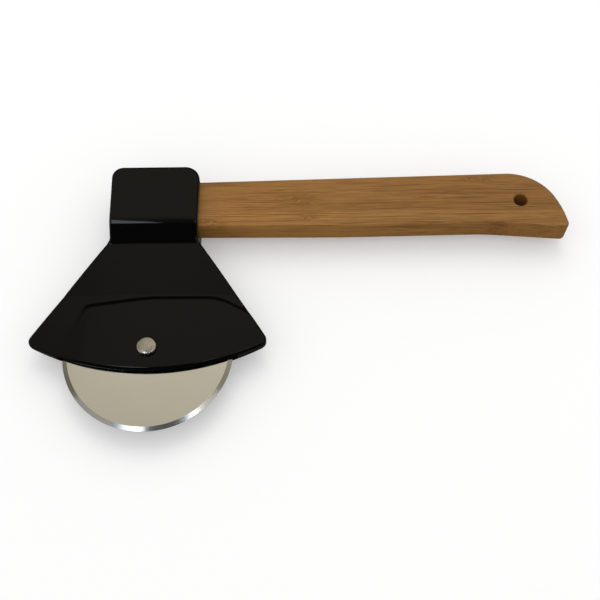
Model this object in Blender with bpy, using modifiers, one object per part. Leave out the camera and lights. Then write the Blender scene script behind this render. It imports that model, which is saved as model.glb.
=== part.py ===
"""Axe pizza cutter: a moulded axe head on a bamboo handle, with a cutting wheel on a riveted axle.

Metres, +Z up. The tool lies on its rear side. The origin is the middle of the flat rear face of the
eye, the block that holds the handle. +X runs along the handle to its butt, and +Y runs from the
cutting side to the poll, the flat top of the axe head.
"""

from math import atan2, ceil, cos, pi, radians, sin, sqrt, tan

import bmesh
import bpy
from mathutils import Matrix, Vector

# Clearances between pieces
FIT_GAP = 0.0003  # between pieces that touch on the real object
RUNNING_GAP = 0.0003  # at each face where the wheel turns
WHEEL_ROOM = 0.002  # from the wheel's edge to the end of its slot

# Eye, the block round the handle, and the shoulder that runs down from it to the cheeks
EYE_WIDTH = 0.0442  # at the poll
NECK_WIDTH = 0.043  # where the flanks start
EYE_THICKNESS = 0.0236
EYE_RISE = 0.0156  # from the origin up to the poll
POLL_SHIFT = 0.0004  # how far the poll sits towards the left
EYE_LEFT_RADIUS = 0.0057
EYE_RIGHT_RADIUS = 0.0075
SHOULDER_TOP = 0.0160  # from the origin down to the start of the shoulder
NECK_DROP = 0.0263  # from the origin down to the foot of the shoulder
SHOULDER_ROLL = 0.008  # radius of the rolled lower edge of the eye
NECK_RADIUS = 0.003

# Cheeks, the flared walls on each side of the wheel
AXLE_DROP = 0.081  # from the origin down to the axle
FLANK_TOP = 0.0239  # from the origin down to the start of the flanks
FLANK_LEAN = radians(33.2)
FLANK_BOW = 0.0005  # how far the middle of a flank swells out
LIP_DROP = 0.0113  # from the axle down to the middle of the lip
LIP_RADIUS = 0.120
TIP_RADIUS = 0.0036
CHEEK_WALL = 0.0016
NECK_SWELL = 0.0026  # how much thicker each cheek is at the neck than round the axle
TIP_SAG = 0.0013  # how much thinner each cheek is at its tips than at its middle
TIP_PLACE = 0.052  # from the middle to where the tips are measured
EDGE_ROUND = 0.0013
PARTING_HALF = 0.0002  # half the width of the fine groove where the two halves of the mould meet

# Raised panel round the axle, on both cheeks, down to the lip
PANEL_HEIGHT = 0.0007
PANEL_RISE = 0.0268  # from the axle up to its upper edge
PANEL_LEFT = 0.0316  # from the axle to its left corner
PANEL_LEFT_DROP = 0.004  # how much lower that corner is than the crest of its upper edge
PANEL_LEFT_LEAN = radians(25)
PANEL_LEFT_RADIUS = 0.005
PANEL_CREST = 0.001  # from the axle left to where its upper edge starts to fall
PANEL_CREST_RADIUS = 0.1
PANEL_RIGHT = 0.0329  # from the axle right to where its upper edge turns down to the flank
PANEL_RIGHT_FALL = radians(28)
PANEL_RIGHT_RADIUS = 0.026
PANEL_STEP = 0.003  # width of the sloped step at its border
PANEL_ROOT = 0.25  # how far the step runs on under the cheek's face, as a share of its height

# Handle
HANDLE_THICKNESS = 0.0114
HANDLE_REACH = 0.2048  # from the origin to the butt
HANDLE_TOP = 0.0098  # upper edge over the origin
HANDLE_TOP_RISE = radians(1.305)  # how the upper edge climbs towards the butt
HANDLE_BOTTOM = 0.0160  # lower edge under the origin
HANDLE_BELLY = 0.0009  # how much the lower edge swells down at mid length
KNOB_LENGTH = 0.041  # stretch at the butt where the lower edge turns down
KNOB_DROP = 0.0039
BUTT_RADIUS = 0.0303
BUTT_SHARE = 0.9  # most of the butt's height that its rounding takes
KNOB_RADIUS = 0.002
BEND_RADIUS = 0.15
HANDLE_EDGE_ROUND = 0.0011
SOCKET_FLOOR = 0.005  # wall of the eye beyond the end of the handle
HANG_HOLE_DIAMETER = 0.0064
HANG_HOLE_INSET = 0.0216  # from the butt to the middle of the hole
HANG_HOLE_DROP = 0.0023  # from the origin's height down to the middle of the hole

# Cutting wheel and washers
WHEEL_DIAMETER = 0.080
WHEEL_THICKNESS = 0.0012
WHEEL_BEVEL = 0.0027  # width of the ground bevel on each face
WHEEL_EDGE = 0.00016  # what the grinding leaves of the rim
WASHER_DIAMETER = 0.011
WASHER_THICKNESS = 0.0006

# Axle: a domed pin pressed into a domed barrel
BARREL_DIAMETER = 0.005
PIN_DIAMETER = 0.0028
PIN_END_GAP = 0.0012  # room past the end of the pin in the barrel
DOME_DIAMETER = 0.0093
DOME_HEIGHT = 0.0021
DOME_RIM = 0.0004  # straight rim under the dome

# Smoothness of round shapes
ARC_TOLERANCE = 0.00002  # how far a facet may lie inside a true arc
CORNER_ROOM = 1.5  # how much of the lip is left to a corner's rounding, in corner radii
FLAT_ANGLE = radians(0.5)  # faces that meet at less than this become one
SHARP_ANGLE = radians(35)
ROUNDED_ANGLE = radians(50)  # edges sharper than this are rounded
WELD_DISTANCE = 0.000002
WHEEL_SIDES = 96
PIN_SIDES = 32
DOME_STEPS = 6
FLANK_STEPS = 6
DOME_FACETS = 7  # from the middle of a cheek to past its tip
DOME_PITCH = 0.0085

EYE_MIDDLE = EYE_THICKNESS / 2  # height of the plane that the wheel turns in
SLOT_HALF = WHEEL_THICKNESS / 2 + RUNNING_GAP + WASHER_THICKNESS + FIT_GAP
CHEEK_HALF = SLOT_HALF + CHEEK_WALL
PANEL_HALF = CHEEK_HALF + PANEL_HEIGHT
DOME_START = -(NECK_DROP + AXLE_DROP - PANEL_RISE) / 2  # only the cheek below it is thinned
HALF_LAP = EDGE_ROUND - PARTING_HALF  # how far each half reaches past the middle plane
AXLE = Vector((0, -AXLE_DROP))
LIP_CENTRE = AXLE + Vector((0, LIP_RADIUS - LIP_DROP))
BEYOND = EYE_THICKNESS  # how far shapes that are trimmed, and cutters, run past the real edge
CUTTER_FOOT = LIP_CENTRE.y - LIP_RADIUS - BEYOND
TO_MIDDLE = Matrix.Translation((0, 0, EYE_MIDDLE))
ALONG_X = Matrix(((0, 0, 1, 0), (1, 0, 0, 0), (0, 1, 0, EYE_MIDDLE), (0, 0, 0, 1)))


def clear_scene():
    """Removes every object that is already there."""
    for item in list(bpy.data.objects):
        bpy.data.objects.remove(item)


def new_collection(name):
    """Makes a collection in the scene."""
    made = bpy.data.collections.new(name)
    bpy.context.scene.collection.children.link(made)
    return made


def plain_material(name, colour, roughness, metallic):
    """Makes a Principled material with one colour."""
    made = bpy.data.materials.new(name)
    made.use_nodes = True
    shader = made.node_tree.nodes["Principled BSDF"]
    shader.inputs["Base Color"].default_value = (*colour, 1)
    shader.inputs["Roughness"].default_value = roughness
    shader.inputs["Metallic"].default_value = metallic
    made.diffuse_color = (*colour, 1)
    return made


def turned(point, angle):
    """A flat point turned round the origin."""
    return Matrix.Rotation(angle, 2) @ point


def arc_steps(radius, turn):
    """How many facets an arc needs to stay within the tolerance."""
    return max(2, ceil(turn / (2 * sqrt(2 * ARC_TOLERANCE / radius))))


def rounded(corners):
    """Points of a closed outline whose corners (x, y, radius) are rounded by arcs."""
    points = []
    for index, (x, y, radius) in enumerate(corners):
        corner = Vector((x, y))
        back = (Vector(corners[index - 1][:2]) - corner).normalized()
        ahead = (Vector(corners[(index + 1) % len(corners)][:2]) - corner).normalized()
        if radius == 0:
            points.append(corner)
            continue
        half = back.angle(ahead) / 2
        centre = corner + (back + ahead).normalized() * (radius / sin(half))
        start = corner + back * (radius / tan(half)) - centre
        turn = pi - 2 * half
        side = 1 if back.cross(ahead) < 0 else -1
        steps = arc_steps(radius, turn)
        for step in range(steps + 1):
            points.append(centre + turned(start, side * turn * step / steps))
    return points


def arc(centre, radius, first, last):
    """Points on a circle from one angle to another, both ends included."""
    steps = arc_steps(radius, abs(last - first))
    angles = [first + (last - first) * step / steps for step in range(steps + 1)]
    return [centre + Vector((cos(angle), sin(angle))) * radius for angle in angles]


def solid_outline(name, outline, half, edge=0, grow=0):
    """A flat outline made thick both ways along Z, as a mesh object.

    edge is the radius of its rounded rims, and grow makes the whole shape larger on all sides.
    """
    curve = bpy.data.curves.new(name, "CURVE")
    curve.dimensions = "2D"
    curve.fill_mode = "BOTH"
    curve.extrude = half - edge
    curve.bevel_depth = edge + grow
    curve.bevel_resolution = 2
    curve.offset = -edge
    spline = curve.splines.new("POLY")
    spline.points.add(len(outline) - 1)
    for point, spot in zip(spline.points, outline):
        point.co = (*spot, 0, 1)
    spline.use_cyclic_u = True
    return plain_mesh(name, curve)


def plain_mesh(name, curve):
    """Turns a curve into a welded mesh object with whole flat faces."""
    guide = bpy.data.objects.new(name, curve)
    bpy.context.scene.collection.objects.link(guide)
    bpy.context.view_layer.update()
    made = bpy.data.meshes.new_from_object(guide.evaluated_get(bpy.context.evaluated_depsgraph_get()))
    bpy.data.objects.remove(guide)
    bpy.data.curves.remove(curve)
    shape = bmesh.new()
    shape.from_mesh(made)
    bmesh.ops.remove_doubles(shape, verts=shape.verts, dist=WELD_DISTANCE)
    bmesh.ops.dissolve_limit(shape, angle_limit=FLAT_ANGLE, verts=shape.verts, edges=shape.edges)
    bmesh.ops.recalc_face_normals(shape, faces=shape.faces)
    shape.to_mesh(made)
    shape.free()
    made.name = name
    return bpy.data.objects.new(name, made)


def turned_profile(name, profile, sides):
    """A solid turned round Z from (radius, height) points that run from top to bottom."""
    mesh = bpy.data.meshes.new(name)
    points = [(radius, 0, height) for radius, height in profile]
    closed = profile[0][0] > 0
    edges = [(index, index + 1) for index in range(len(points) - 1)]
    if closed:
        edges.append((len(points) - 1, 0))
    mesh.from_pydata(points, edges, [])
    made = bpy.data.objects.new(name, mesh)
    screw = made.modifiers.new("turn", "SCREW")
    screw.axis = "Z"
    screw.steps = sides
    screw.render_steps = sides
    screw.use_merge_vertices = True
    screw.merge_threshold = WELD_DISTANCE
    return made


def place(piece, matrix):
    """Moves the piece's own mesh."""
    piece.data.transform(matrix)
    return piece


def combine(piece, other, operation):
    """Adds a Boolean modifier with the cutter kept in the scene as a wire."""
    step = piece.modifiers.new(f"{operation.lower()} {other.name}", "BOOLEAN")
    step.operation = operation
    step.object = other
    step.solver = "EXACT"


def keep_cutter(cutter, cutters):
    """Stores a cutter where it doesn't render."""
    cutters.objects.link(cutter)
    cutter.hide_render = True
    cutter.display_type = "WIRE"
    return cutter


def finish(piece, parts, material):
    """Puts a finished piece in the parts collection, with its material and smooth shading."""
    parts.objects.link(piece)
    piece.data.materials.clear()
    piece.data.materials.append(material)
    piece.data.shade_smooth()
    piece.data.set_sharp_from_angle(angle=SHARP_ANGLE)
    return piece


def flared(half, top, lean, radius, foot_radius):
    """The two lower corners and the lip between them, the lower part of a flared outline.

    Its sides start at half the width, at the top, and lean out by the angle down to an arc of the
    radius about the lip's centre.
    """
    start = Vector((half, top)) - LIP_CENTRE
    way = Vector((sin(lean), -cos(lean)))
    along = start.dot(way)
    corner = start + way * (sqrt(along**2 - start.length_squared + radius**2) - along)
    angle = atan2(corner.x, -corner.y)
    room = CORNER_ROOM * foot_radius / radius
    lip = arc(LIP_CENTRE, radius, -pi / 2 - angle + room, -pi / 2 + angle - room)
    corner += LIP_CENTRE
    foot = [(-corner.x, corner.y, foot_radius)]
    foot += [(*point, 0) for point in lip]
    return foot + [(corner.x, corner.y, foot_radius)]


def bowed(start, end):
    """Points between the ends of a flank that swells out on the right of the way, as corners."""
    side = Vector((end.y - start.y, start.x - end.x)).normalized()
    shares = [step / FLANK_STEPS for step in range(1, FLANK_STEPS)]
    spots = [start.lerp(end, part) + side * (4 * FLANK_BOW * part * (1 - part)) for part in shares]
    return [(*spot, 0) for spot in spots]


def head_outline():
    """The axe head seen from the front: curved lip, flared cheeks and eye."""
    neck = NECK_WIDTH / 2
    poll = EYE_WIDTH / 2
    foot = flared(neck, -FLANK_TOP, FLANK_LEAN, LIP_RADIUS, TIP_RADIUS)
    right = bowed(Vector(foot[-1][:2]), Vector((neck, -FLANK_TOP)))
    left = bowed(Vector((-neck, -FLANK_TOP)), Vector(foot[0][:2]))
    eye = [
        (neck, -FLANK_TOP, NECK_RADIUS),
        (poll - POLL_SHIFT, EYE_RISE, EYE_RIGHT_RADIUS),
        (-poll - POLL_SHIFT, EYE_RISE, EYE_LEFT_RADIUS),
        (-neck, -FLANK_TOP, NECK_RADIUS),
    ]
    return rounded([*foot, *right, *eye, *left])


def panel_outline():
    """A raised panel seen from the front. It runs off the cheek at the lip and at the right flank."""
    top = AXLE.y + PANEL_RISE
    left_top = top - PANEL_LEFT_DROP
    foot = CUTTER_FOOT + BEYOND / 2
    end = LIP_RADIUS - BEYOND
    return rounded([
        (-PANEL_LEFT - (left_top - foot) * tan(PANEL_LEFT_LEAN), foot, 0),
        (end, foot, 0),
        (end, top - (end - PANEL_RIGHT) * tan(PANEL_RIGHT_FALL), 0),
        (PANEL_RIGHT, top, PANEL_RIGHT_RADIUS),
        (-PANEL_CREST, top, PANEL_CREST_RADIUS),
        (-PANEL_LEFT, left_top, PANEL_LEFT_RADIUS),
    ])


def half_profile(side):
    """One half of the head seen from its end, as (along Y, from the middle plane) points."""
    top = EYE_RISE + BEYOND
    eye = side * EYE_THICKNESS / 2
    cheek = side * CHEEK_HALF
    return rounded([
        (CUTTER_FOOT, -side * HALF_LAP, 0),
        (CUTTER_FOOT, cheek, 0),
        (AXLE.y + PANEL_RISE, cheek, 0),
        (-NECK_DROP, cheek + side * NECK_SWELL, 0),
        (-SHOULDER_TOP, eye, SHOULDER_ROLL),
        (top, eye, 0),
        (top, -side * HALF_LAP, 0),
    ])


def domed(piece, side):
    """Thins the cheek in a smooth curve from its middle to its tips, on the side that faces out."""
    shape = bmesh.new()
    shape.from_mesh(piece.data)
    for step in range(-DOME_FACETS, DOME_FACETS + 1):
        cheek = [face for face in shape.faces if side * face.normal.z > 0.5 and
                 face.calc_center_median().y < 0]
        edges = {edge for face in cheek for edge in face.edges}
        spots = {spot for face in cheek for spot in face.verts}
        bmesh.ops.bisect_plane(
            shape,
            geom=[*spots, *edges, *cheek],
            plane_co=(step * DOME_PITCH, 0, 0),
            plane_no=(1, 0, 0),
        )
    moved = set()
    for spot in shape.verts:
        if spot.co.y < DOME_START and side * (spot.co.z - EYE_MIDDLE) > SLOT_HALF:
            share = min(abs(spot.co.x), DOME_FACETS * DOME_PITCH) / TIP_PLACE
            spot.co.z -= side * TIP_SAG * share**2
            moved |= {face for face in spot.link_faces if side * face.normal.z > 0.5}
    bmesh.ops.triangulate(shape, faces=list(moved))
    shape.to_mesh(piece.data)
    shape.free()
    return piece


def head_half(name, side, cutters):
    """The front or the rear half of the moulded head, still solid, with its panel and rounded edges."""
    half = domed(place(solid_outline(name, half_profile(side), LIP_RADIUS), ALONG_X), side)
    plan = solid_outline(f"{name}_plan", head_outline(), EYE_THICKNESS)
    combine(half, keep_cutter(raised_panel(f"{name}_panel", side), cutters), "UNION")
    combine(half, keep_cutter(place(plan, TO_MIDDLE), cutters), "INTERSECT")
    edges = half.modifiers.new("rounded edges", "BEVEL")
    edges.width = EDGE_ROUND
    edges.segments = 3
    edges.limit_method = "ANGLE"
    edges.angle_limit = ROUNDED_ANGLE
    edges.use_clamp_overlap = False
    return half


def raised_panel(name, side):
    """One cheek's panel, rooted in the cheek, with a sloped step at its border."""
    root = PANEL_ROOT * PANEL_HEIGHT
    panel = solid_outline(name, panel_outline(), (CHEEK_HALF - root) / 2)
    shape = bmesh.new()
    shape.from_mesh(panel.data)
    cap = max(shape.faces, key=lambda face: side * face.calc_center_median().z)
    bmesh.ops.inset_individual(
        shape,
        faces=[cap],
        thickness=PANEL_STEP * (1 + PANEL_ROOT),
        depth=PANEL_HEIGHT + root,
    )
    shape.to_mesh(panel.data)
    shape.free()
    place(panel, Matrix.Translation((0, 0, EYE_MIDDLE + side * (CHEEK_HALF - root) / 2)))
    return domed(panel, side)


def slot_outline():
    """The wheel's slot seen from the front: round over the wheel, and open at the lip."""
    half = WHEEL_DIAMETER / 2 + WHEEL_ROOM
    return [Vector((-half, CUTTER_FOOT)), *arc(AXLE, half, pi, 0), Vector((half, CUTTER_FOOT))]


def handle_outline():
    """The handle seen from the front, from its end in the eye to its butt."""
    inner = -EYE_WIDTH / 2 + SOCKET_FLOOR
    rise = tan(HANDLE_TOP_RISE)
    knob = HANDLE_REACH - KNOB_LENGTH
    top = HANDLE_TOP + rise * HANDLE_REACH
    foot = -HANDLE_BOTTOM - KNOB_DROP
    return rounded([
        (inner, -HANDLE_BOTTOM, 0),
        (inner, HANDLE_TOP + rise * inner, 0),
        (HANDLE_REACH, top, min(BUTT_RADIUS, BUTT_SHARE * (top - foot))),
        (HANDLE_REACH, foot, KNOB_RADIUS),
        (knob, -HANDLE_BOTTOM, BEND_RADIUS),
        ((EYE_WIDTH / 2 + knob) / 2, -HANDLE_BOTTOM - HANDLE_BELLY, 0),
    ])


def handle_blank(name, grow=0):
    """The handle's solid without its hole, or the same grown by a clearance, to cut its socket."""
    blank = solid_outline(name, handle_outline(), HANDLE_THICKNESS / 2, HANDLE_EDGE_ROUND, grow)
    return place(blank, TO_MIDDLE)


def bore(name, radius, low, high, centre):
    """A round cutter along Z."""
    cutter = turned_profile(name, [(0, high), (radius, high), (radius, low), (0, low)], PIN_SIDES)
    cutter.location = (*centre, 0)
    return cutter


def make_head(parts, cutters, material):
    """The moulded axe head, with its socket, its wheel slot and its axle bore."""
    head = head_half("axe_head", 1, cutters)
    rear = head_half("rear_half", -1, cutters)
    slot = solid_outline("slot", slot_outline(), SLOT_HALF)
    bore_radius = BARREL_DIAMETER / 2 + FIT_GAP
    removals = (
        place(slot, TO_MIDDLE),
        handle_blank("socket", FIT_GAP),
        bore("axle_bore", bore_radius, -BEYOND, EYE_THICKNESS + BEYOND, AXLE),
    )
    combine(head, keep_cutter(rear, cutters), "UNION")
    for removal in removals:
        combine(head, keep_cutter(removal, cutters), "DIFFERENCE")
    return finish(head, parts, material)


def make_handle(parts, cutters, material):
    """The bamboo handle, with the hole that it hangs by."""
    handle = handle_blank("handle")
    centre = (HANDLE_REACH - HANG_HOLE_INSET, -HANG_HOLE_DROP)
    hole = bore("hang_hole", HANG_HOLE_DIAMETER / 2, -BEYOND, EYE_THICKNESS + BEYOND, centre)
    combine(handle, keep_cutter(hole, cutters), "DIFFERENCE")
    return finish(handle, parts, material)


def ring(name, profile, sides, height):
    """A turned piece on the axle, with its origin on the axle's line at the given height."""
    made = turned_profile(name, profile, sides)
    made.location = (*AXLE, height)
    return made


def make_wheel(parts, material):
    """The cutting wheel, ground to an edge from both faces."""
    outer = WHEEL_DIAMETER / 2
    half = WHEEL_THICKNESS / 2
    inner = BARREL_DIAMETER / 2 + RUNNING_GAP
    profile = [
        (inner, half),
        (outer - WHEEL_BEVEL, half),
        (outer, WHEEL_EDGE / 2),
        (outer, -WHEEL_EDGE / 2),
        (outer - WHEEL_BEVEL, -half),
        (inner, -half),
    ]
    return finish(ring("cutting_wheel", profile, WHEEL_SIDES, EYE_MIDDLE), parts, material)


def make_washer(name, side, parts, material):
    """A thin washer that keeps the wheel in the middle of its slot."""
    outer = WASHER_DIAMETER / 2
    inner = BARREL_DIAMETER / 2 + FIT_GAP
    half = WASHER_THICKNESS / 2
    profile = [(inner, half), (outer, half), (outer, -half), (inner, -half)]
    offset = WHEEL_THICKNESS / 2 + RUNNING_GAP + half
    return finish(ring(name, profile, PIN_SIDES, EYE_MIDDLE + side * offset), parts, material)


def dome_points():
    """Points down a domed head, from its crown to its rim, as (radius, height over its seat)."""
    radius = DOME_DIAMETER / 2
    rise = DOME_HEIGHT - DOME_RIM
    ball = (radius**2 + rise**2) / (2 * rise)
    spread = atan2(radius, ball - rise)
    angles = [spread * step / DOME_STEPS for step in range(DOME_STEPS)]
    crown = [(ball * sin(angle), DOME_HEIGHT - ball * (1 - cos(angle))) for angle in angles]
    return crown + [(radius, DOME_RIM), (radius, 0)]


def make_pin(parts, material):
    """The front half of the axle: a domed head with a pin."""
    seat = PANEL_HALF + FIT_GAP
    end = -seat + PIN_END_GAP
    pin = PIN_DIAMETER / 2
    profile = [(radius, seat + height) for radius, height in dome_points()]
    profile += [(pin, seat), (pin, end), (0, end)]
    return finish(ring("axle_pin", profile, PIN_SIDES, EYE_MIDDLE), parts, material)


def make_barrel(parts, material):
    """The rear half of the axle: a domed head with the barrel that the wheel turns on."""
    seat = PANEL_HALF + FIT_GAP
    top = PANEL_HALF
    outer = BARREL_DIAMETER / 2
    inner = PIN_DIAMETER / 2 + FIT_GAP
    floor = -seat + PIN_END_GAP - FIT_GAP
    profile = [(inner, top), (outer, top), (outer, -seat)]
    profile += [(radius, -seat - height) for radius, height in reversed(dome_points())]
    profile += [(0, floor), (inner, floor)]
    return finish(ring("axle_barrel", profile, PIN_SIDES, EYE_MIDDLE), parts, material)


def build():
    """Builds the whole tool."""
    clear_scene()
    parts = new_collection("axe pizza cutter")
    cutters = new_collection("cutters")
    plastic = plain_material("black plastic", (0.008, 0.008, 0.008), 0.12, 0)
    bamboo = plain_material("bamboo", (0.42, 0.22, 0.08), 0.5, 0)
    steel = plain_material("polished steel", (0.62, 0.6, 0.54), 0.15, 1)
    rivet_steel = plain_material("bright steel", (0.7, 0.68, 0.65), 0.12, 1)
    nylon = plain_material("white nylon", (0.75, 0.75, 0.72), 0.4, 0)
    make_head(parts, cutters, plastic)
    make_handle(parts, cutters, bamboo)
    make_wheel(parts, steel)
    make_washer("wheel_washer_front", 1, parts, nylon)
    make_washer("wheel_washer_rear", -1, parts, nylon)
    make_pin(parts, rivet_steel)
    make_barrel(parts, rivet_steel)


build()
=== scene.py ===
"""Looks of the axe pizza cutter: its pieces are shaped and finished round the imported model.

Metres, +Z up, in the model's own frame. The tool lies on its rear side, and the origin is the middle
of the flat rear face of the eye, the block that holds the handle. +X runs along the handle to its
butt, and +Y runs from the cutting side to the poll, the flat top of the axe head.
"""

from __future__ import annotations

import logging
from dataclasses import dataclass
from enum import Enum
from math import atan2, cos, pi, radians, sin, sqrt, tan
from typing import Callable, Sequence, Union

import bmesh
import bpy
import numpy as np
from mathutils import Euler, Matrix, Vector
from mathutils.geometry import delaunay_2d_cdt

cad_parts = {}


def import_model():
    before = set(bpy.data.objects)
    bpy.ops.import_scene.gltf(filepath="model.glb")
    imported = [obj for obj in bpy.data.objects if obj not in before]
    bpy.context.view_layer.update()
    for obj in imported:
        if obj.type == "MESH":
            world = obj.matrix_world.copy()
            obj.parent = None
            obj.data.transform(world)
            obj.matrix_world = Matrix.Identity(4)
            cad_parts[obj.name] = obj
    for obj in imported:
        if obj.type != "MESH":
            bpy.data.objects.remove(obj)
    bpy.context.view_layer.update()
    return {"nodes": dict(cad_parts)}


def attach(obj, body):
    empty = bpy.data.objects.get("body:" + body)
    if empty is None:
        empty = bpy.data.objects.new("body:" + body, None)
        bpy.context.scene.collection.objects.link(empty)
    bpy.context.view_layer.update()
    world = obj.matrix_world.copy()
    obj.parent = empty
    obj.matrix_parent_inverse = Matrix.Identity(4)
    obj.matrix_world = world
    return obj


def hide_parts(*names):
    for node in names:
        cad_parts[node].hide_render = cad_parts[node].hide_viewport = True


log = logging.getLogger("axe_pizza_cutter")

Colour = tuple[float, float, float]
Span = tuple[float, float]
Fade = tuple[float, float, float]
Ramp = tuple[float, float, float, float]  # the range of a value, and what its ends become
Points = np.ndarray
Piece = bpy.types.Object
Material = bpy.types.Material
Parts = bpy.types.bpy_prop_collection
Socket = bpy.types.NodeSocket
Value = Union[float, tuple, Socket]

MIDDLE = 0.0118  # height of the plane that the wheel turns in
FIT_GAP = 0.0003
AXLE = Vector((0, -0.081))
BORE_RADIUS = 0.0028
WHEEL_RADIUS = 0.040
WHEEL_BEVEL = 0.0021
MESH_WELD = 0.000002
FEWEST_STEPS = 8  # on an arc
NOISE_RANGE = (0.3, 0.7)  # what smooth noise mostly keeps to


class Node(Enum):
    """The model's nodes, which are also the names of its material slots."""

    HEAD = "axe_head"
    HANDLE = "handle"
    WHEEL = "cutting_wheel"
    PIN = "axle_pin"
    BARREL = "axle_barrel"
    FRONT_WASHER = "wheel_washer_front"
    REAR_WASHER = "wheel_washer_rear"


class Body(Enum):
    """The bodies that pieces ride on."""

    TOOL = "tool"
    WHEEL = "wheel"


# Outlines


def turned(point: Vector, angle: float) -> Vector:
    """Turns a flat point round the origin."""
    return Matrix.Rotation(angle, 2) @ point


def rounded(corners: Sequence[tuple], pitch: float) -> list[Vector]:
    """Rounds the corners of a closed outline.

    Args:
        corners: (x, y, radius) of each corner, in order.
        pitch: longest step along an arc.

    Returns:
        The outline's points in the same order.
    """
    points = []
    for index, (x, y, radius) in enumerate(corners):
        corner = Vector((x, y))
        if radius == 0:
            points.append(corner)
            continue
        back = (Vector(corners[index - 1][:2]) - corner).normalized()
        ahead = (Vector(corners[(index + 1) % len(corners)][:2]) - corner).normalized()
        half = back.angle(ahead) / 2
        centre = corner + (back + ahead).normalized() * (radius / sin(half))
        start = corner + back * (radius / tan(half)) - centre
        turn = pi - 2 * half
        side = 1 if back.cross(ahead) < 0 else -1
        steps = max(FEWEST_STEPS, round(radius * turn / pitch))
        points += [centre + turned(start, side * turn * step / steps) for step in range(steps + 1)]
    return points


def bowed(start: Vector, end: Vector, bow: float, steps: int) -> list[tuple]:
    """Corners between two ends of a side that swells out on the right of the way.

    Args:
        start: where the side starts.
        end: where it ends.
        bow: how far its middle swells out.
        steps: parts that it is divided into.

    Returns:
        The corners between the ends, each (x, y, 0).
    """
    side = Vector((end.y - start.y, start.x - end.x)).normalized()
    corners = []
    for step in range(1, steps):
        share = step / steps
        spot = start.lerp(end, share) + side * (4 * bow * share * (1 - share))
        corners.append((*spot, 0))
    return corners


def arc(centre: Vector, radius: float, first: float, last: float, steps: int) -> list[Vector]:
    """Points on a circle from one angle to another, both ends included."""
    angles = [first + (last - first) * step / steps for step in range(steps + 1)]
    return [centre + Vector((cos(angle), sin(angle))) * radius for angle in angles]


def ring(centre: Vector, radius: float, sides: int) -> list[Vector]:
    """The corners of a circle with a number of sides."""
    return arc(centre, radius, 0, 2 * pi, sides)[:-1]


def resampled(outline: Sequence[Vector], pitch: float) -> Points:
    """Adds points to the long straight runs of a closed outline.

    Args:
        outline: the outline's points.
        pitch: longest step that is left.

    Returns:
        The points as rows of x and y.
    """
    rows = []
    for index, point in enumerate(outline):
        ahead = outline[(index + 1) % len(outline)]
        gap = (ahead - point).length
        if gap < MESH_WELD:
            continue
        steps = max(1, round(gap / pitch))
        rows += [point.lerp(ahead, step / steps) for step in range(steps)]
    return np.array(rows, float)


class Border:
    """A closed outline that tells how far inside it a point lies, and which way its edge faces.

    Args:
        points: the outline's points, anticlockwise, as rows of x and y.
    """

    BATCH = 4096

    def __init__(self, points: Points) -> None:
        """Works out the outward direction at each point."""
        self.points = points
        ahead = np.roll(points, -1, axis=0) - points
        ahead /= np.linalg.norm(ahead, axis=1)[:, None]
        sides = np.column_stack((ahead[:, 1], -ahead[:, 0]))
        mean = sides + np.roll(sides, 1, axis=0)
        length = np.linalg.norm(mean, axis=1)[:, None]
        self.normals = mean / length
        self.mitres = 2 / length

    def inset(self, depth: float) -> Points:
        """The outline moved inwards by a depth."""
        return self.points - self.normals * self.mitres * depth

    def nearest(self, spots: Points) -> tuple[Points, Points]:
        """Finds each spot's nearest place on the outline.

        Args:
            spots: rows of x and y.

        Returns:
            The depth inside the outline, below 0 outside it, and the outward direction there.
        """
        start = self.points
        way = np.roll(start, -1, axis=0) - start
        length = (way**2).sum(1)
        depths = np.empty(len(spots))
        sides = np.empty((len(spots), 2))
        following = np.roll(self.normals, -1, axis=0)
        for low in range(0, len(spots), self.BATCH):
            part = spots[low : low + self.BATCH]
            gap = part[:, None, :] - start[None]
            share = np.clip((gap * way[None]).sum(2) / length[None], 0, 1)
            off = gap - share[:, :, None] * way[None]
            best = (off**2).sum(2).argmin(1)
            row = np.arange(len(part))
            share = share[row, best][:, None]
            side = self.normals[best] * (1 - share) + following[best] * share
            side /= np.linalg.norm(side, axis=1)[:, None]
            depths[low : low + self.BATCH] = -(off[row, best] * side).sum(1)
            sides[low : low + self.BATCH] = side
        return depths, sides


class Verge:
    """The rounded border of a raised area that runs off its ground at both ends.

    Args:
        corners: (x, y, radius) in order, with the area on the left of the way.
    """

    def __init__(self, corners: Sequence[tuple]) -> None:
        """Works out the border's lines and its rounded corners."""
        spots = [np.array(corner[:2]) for corner in corners]
        self.lines = []
        for spot, ahead in zip(spots, spots[1:]):
            way = (ahead - spot) / np.linalg.norm(ahead - spot)
            outward = np.array((way[1], -way[0]))
            self.lines.append((outward, outward @ spot))
        self.rounds = []
        for index in range(1, len(spots) - 1):
            first, second = self.lines[index - 1][0], self.lines[index][0]
            radius = corners[index][2]
            centre = spots[index] - (first + second) * (radius / (1 + first @ second))
            self.rounds.append((centre, radius, first, second))

    def depth(self, x: Points, y: Points) -> Points:
        """How far inside the border each spot lies."""
        depth = np.min([place - x * way[0] - y * way[1] for way, place in self.lines], axis=0)
        for centre, radius, first, second in self.rounds:
            across, along = x - centre[0], y - centre[1]
            turn = first[0] * second[1] - first[1] * second[0]
            before = (across * second[1] - along * second[0]) / turn
            after = (first[0] * along - first[1] * across) / turn
            rounded_off = (before > 0) & (after > 0)
            depth = np.where(rounded_off, radius - np.hypot(across, along), depth)
        return depth


def eased(share: Points) -> Points:
    """A smooth rise from 0 to 1 over shares from 0 to 1."""
    share = np.clip(share, 0, 1)
    return share**2 * (3 - 2 * share)


# Meshes


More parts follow.
